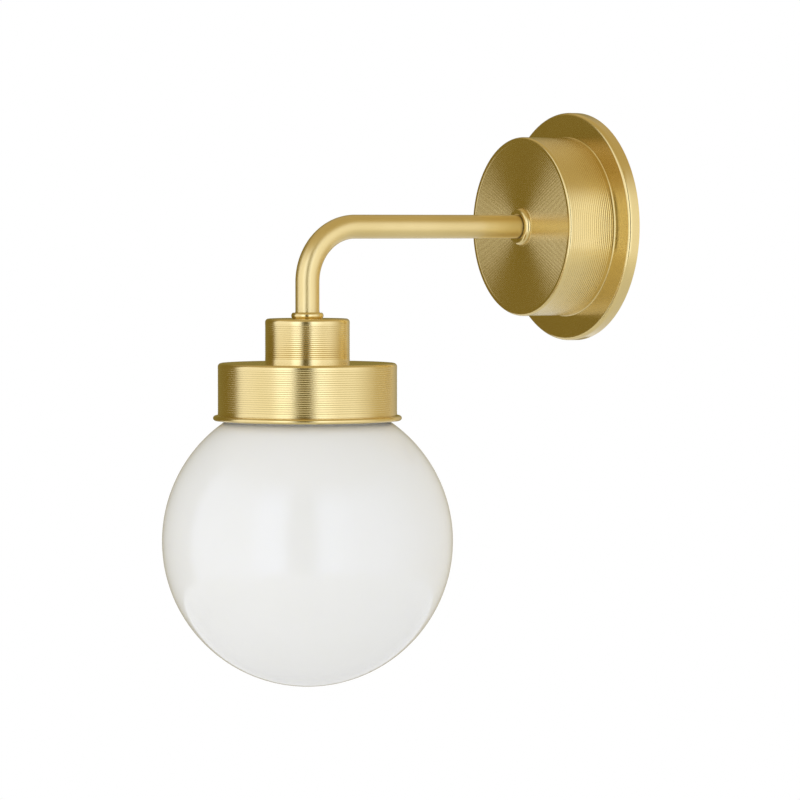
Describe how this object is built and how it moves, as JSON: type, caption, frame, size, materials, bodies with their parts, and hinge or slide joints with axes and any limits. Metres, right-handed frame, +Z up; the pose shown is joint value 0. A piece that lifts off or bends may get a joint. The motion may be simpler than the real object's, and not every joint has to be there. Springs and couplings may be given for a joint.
{
  "type": "globe wall sconce",
  "caption": "Wall light with a round ribbed brass canopy, a bent tube arm, a ribbed brass glass holder and an opal glass globe that screws out over a bulb.",
  "frame": {"origin": "centre of the base on the wall, on the axis of the horizontal part of the tube", "axes": "+Y into the wall, the lamp stands out along -Y; +Z up; X across, the lamp's outer form is symmetric about X = 0"},
  "size_m": [0.15, 0.241, 0.2977],
  "materials": {
    "satin_brass": "satin brushed brass, clear lacquered",
    "plain_brass": "turned brass",
    "zinc_steel": "zinc plated pressed steel",
    "screw_steel": "zinc plated screws",
    "white_plastic": "moulded white thermoplastic",
    "holder_plastic": "moulded heat resistant white thermoplastic",
    "porcelain": "glazed porcelain",
    "shell_metal": "nickel plated brass",
    "live_insulation": "brown wire insulation",
    "neutral_insulation": "blue wire insulation",
    "earth_insulation": "green and yellow wire insulation",
    "silicone": "translucent white silicone",
    "opal_glass": "glossy opal white blown glass",
    "bulb_glass": "soft white coated glass",
    "bulb_cap_metal": "rolled aluminium screw cap",
    "bulb_insulator_glass": "dark vitrite insulator",
    "solder": "solder button"
  },
  "bodies": {
    "fixture": {"wall_flange": "satin_brass", "mounting_bracket": "zinc_steel", "flange_lock_screws": "screw_steel", "canopy_cup": "satin_brass", "canopy_screws": "screw_steel", "canopy_cover_ring": "satin_brass", "arm_tube": "satin_brass", "canopy_nipple": "plain_brass", "canopy_nut": "plain_brass", "earth_tag": "zinc_steel", "wire_bush": "white_plastic", "terminal_block": "white_plastic", "terminal_barrels": "plain_brass", "terminal_clamp_screws": "screw_steel", "terminal_fixing_screw": "screw_steel", "bracket_earth_screw": "screw_steel", "live_wire": "live_insulation", "neutral_wire": "neutral_insulation", "earth_wire": "earth_insulation", "socket_collar": "satin_brass", "holder_nipple": "plain_brass", "small_cap": "satin_brass", "large_cap": "satin_brass", "holder_dome": "holder_plastic", "holder_skirt": "holder_plastic", "holder_insert": "porcelain", "holder_terminal_posts": "plain_brass", "holder_terminal_screws": "screw_steel", "screw_shell": "shell_metal", "contact_leaf": "shell_metal", "shade_ring": "white_plastic", "thread_ring": "white_plastic"},
    "seal": {"globe_seal": "silicone"},
    "globe": {"globe": "opal_glass"},
    "bulb_tip": {"bulb_contact": "solder"},
    "bulb": {"bulb_insulator": "bulb_insulator_glass", "bulb_cap": "bulb_cap_metal", "bulb_envelope": "bulb_glass"}
  },
  "joints": [
    {"name": "globe_lift", "type": "slide", "parent": "fixture", "child": "seal", "axis": [0, 0, -1], "range_m": [0, 0.0075]},
    {"name": "globe_screw", "type": "hinge", "parent": "seal", "child": "globe", "pos_m": [0, -0.166, -0.091], "axis": [0, 0, -1], "range_deg": [0, 540]},
    {"name": "bulb_lift", "type": "slide", "parent": "fixture", "child": "bulb_tip", "axis": [0, 0, -1], "range_m": [0, 0.01815]},
    {"name": "bulb_screw", "type": "hinge", "parent": "bulb_tip", "child": "bulb", "pos_m": [0, -0.166, -0.087], "axis": [0, 0, -1], "range_deg": [0, 1800]}
  ],
  "couplings": [
    {"joint": "globe_lift", "follows": "globe_screw", "m_per_rad": 0.00079577},
    {"joint": "bulb_lift", "follows": "bulb_screw", "m_per_rad": 0.00057757}
  ]
}
